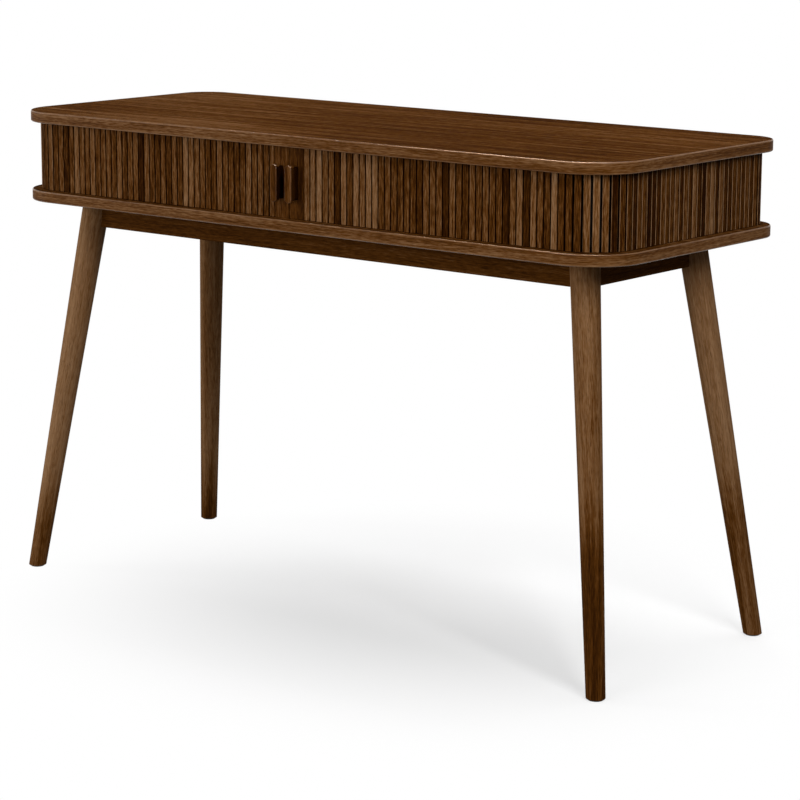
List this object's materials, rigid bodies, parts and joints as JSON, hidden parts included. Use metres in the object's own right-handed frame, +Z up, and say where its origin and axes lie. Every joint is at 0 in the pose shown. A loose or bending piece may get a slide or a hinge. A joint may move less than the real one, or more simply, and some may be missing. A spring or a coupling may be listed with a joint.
{
  "type": "tambour desk",
  "caption": "Walnut writing desk with a round-cornered top, slatted tambour doors that slide round the corners, paired wooden pulls and splayed tapered legs.",
  "frame": {"origin": "on the floor, under the middle of the desk", "axes": "+X along the desk to the right of someone who sits at it, +Y away from them, +Z up"},
  "size_m": [1.2, 0.48, 0.78],
  "materials": {
    "walnut_veneer": "satin lacquer",
    "walnut_edge_band": "satin lacquer",
    "walnut_slats": "matt lacquer",
    "walnut_pull": "satin lacquer",
    "walnut_leg": "satin lacquer",
    "walnut_apron": "satin lacquer",
    "walnut_case": "matt lacquer",
    "hardwood_block": "unfinished hardwood",
    "beech_dowel": "fluted, unfinished",
    "curtain_canvas": "glued cotton canvas",
    "glide_plastic": "moulded",
    "zinc_steel": "zinc plated"
  },
  "bodies": {
    "carcase": {"back_panel": "walnut_case", "block_screws": "zinc_steel", "bottom_edge_band": "walnut_edge_band", "bottom_panel": "walnut_veneer", "centre_divider": "walnut_case", "front_apron": "walnut_apron", "front_left_corner_block": "hardwood_block", "front_left_glide": "glide_plastic", "front_left_leg": "walnut_leg", "front_right_corner_block": "hardwood_block", "front_right_glide": "glide_plastic", "front_right_leg": "walnut_leg", "hanger_bolts": "zinc_steel", "hanger_nuts": "zinc_steel", "hanger_washers": "zinc_steel", "inner_rear_wall": "walnut_case", "left_apron": "walnut_apron", "left_front_canvas": "curtain_canvas", "left_front_corner_slats": "walnut_slats", "left_front_slats": "walnut_slats", "left_inner_wall": "walnut_case", "left_rear_corner_slats": "walnut_slats", "left_side_canvas": "curtain_canvas", "left_side_slats": "walnut_slats", "rail_dowels": "beech_dowel", "rear_apron": "walnut_apron", "rear_left_corner_block": "hardwood_block", "rear_left_glide": "glide_plastic", "rear_left_leg": "walnut_leg", "rear_right_corner_block": "hardwood_block", "rear_right_glide": "glide_plastic", "rear_right_leg": "walnut_leg", "right_apron": "walnut_apron", "right_front_canvas": "curtain_canvas", "right_front_corner_slats": "walnut_slats", "right_front_slats": "walnut_slats", "right_inner_wall": "walnut_case", "right_rear_corner_slats": "walnut_slats", "right_side_canvas": "curtain_canvas", "right_side_slats": "walnut_slats", "top_edge_band": "walnut_edge_band", "top_panel": "walnut_veneer", "track_stop_pins": "zinc_steel", "wall_dowels": "beech_dowel", "wall_screws": "zinc_steel"},
    "left_door": {"left_lead_stile": "walnut_pull", "left_pull": "walnut_pull", "left_pull_screws": "zinc_steel"},
    "right_door": {"right_lead_stile": "walnut_pull", "right_pull": "walnut_pull", "right_pull_screws": "zinc_steel"}
  },
  "joints": [
    {"name": "left_door_slide", "type": "slide", "parent": "carcase", "child": "left_door", "axis": [-1, 0, 0], "range_m": [0, 0.48], "deforming": ["left_front_slats", "left_front_canvas"]},
    {"name": "right_door_slide", "type": "slide", "parent": "carcase", "child": "right_door", "axis": [1, 0, 0], "range_m": [0, 0.48], "deforming": ["right_front_slats", "right_front_canvas"]}
  ]
}
